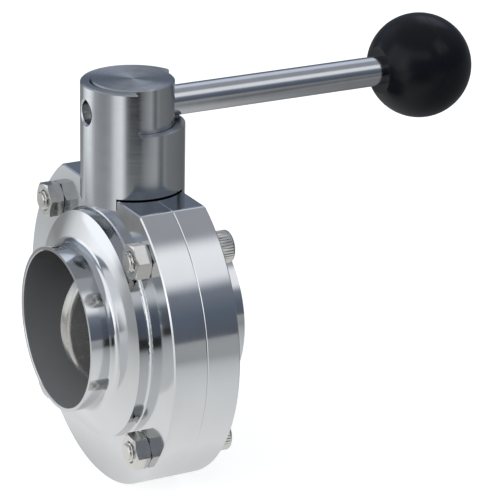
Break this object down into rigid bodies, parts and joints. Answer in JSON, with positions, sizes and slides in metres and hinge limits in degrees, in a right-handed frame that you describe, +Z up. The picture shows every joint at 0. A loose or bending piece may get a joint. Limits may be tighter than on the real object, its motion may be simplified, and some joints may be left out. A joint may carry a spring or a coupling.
{
  "type": "sanitary butterfly valve",
  "caption": "Hygienic butterfly valve with weld ends, bolted halves and a pull-to-unlock ball-knob lever that turns a quarter turn",
  "frame": {"origin": "where the pipe axis crosses the stem axis, on the parting plane of the two body halves", "axes": "+X along the pipe towards the side the open lever points to, +Z up the stem to the handle, +Y completes the frame"},
  "size_m": [0.1422, 0.101, 0.1346],
  "materials": {
    "polished_steel": "mirror polished stainless steel",
    "satin_steel": "fine turned and brushed stainless steel",
    "bar_steel": "drawn and polished stainless bar",
    "disc_steel": "polished cast stainless disc",
    "fastener_steel": "plain stainless fasteners",
    "spring_steel": "drawn stainless spring wire",
    "seat_rubber": "moulded black elastomer",
    "bush_ptfe": "turned white fluoropolymer",
    "knob_phenolic": "glossy black moulded phenolic",
    "insert_brass": "turned brass"
  },
  "bodies": {
    "housing": {"body_front": "polished_steel", "body_rear": "polished_steel", "seat_ring": "seat_rubber", "upper_bush": "bush_ptfe", "lower_bush": "bush_ptfe", "stem_seal": "seat_rubber", "cap_screws": "fastener_steel", "hex_nuts": "fastener_steel", "lock_sleeve": "satin_steel"},
    "valve_rotor": {"disc_and_stem": "disc_steel", "handle_core": "satin_steel", "core_screw": "fastener_steel", "guide_plug": "satin_steel", "lock_spring": "spring_steel"},
    "pull_lever": {"lever_bar": "bar_steel", "lock_pin": "fastener_steel", "ball_knob": "knob_phenolic", "knob_insert": "insert_brass"}
  },
  "joints": [
    {"name": "valve_turn", "type": "hinge", "parent": "housing", "child": "valve_rotor", "pos_m": [0, 0, 0], "axis": [0, 0, -1], "range_deg": [0, 90]},
    {"name": "knob_pull", "type": "slide", "parent": "valve_rotor", "child": "pull_lever", "axis": [1, 0, 0], "range_m": [-0.0036, 0], "stiffness_N_per_m": 1000, "springref_m": -0.012, "deforming": ["lock_spring"]}
  ]
}
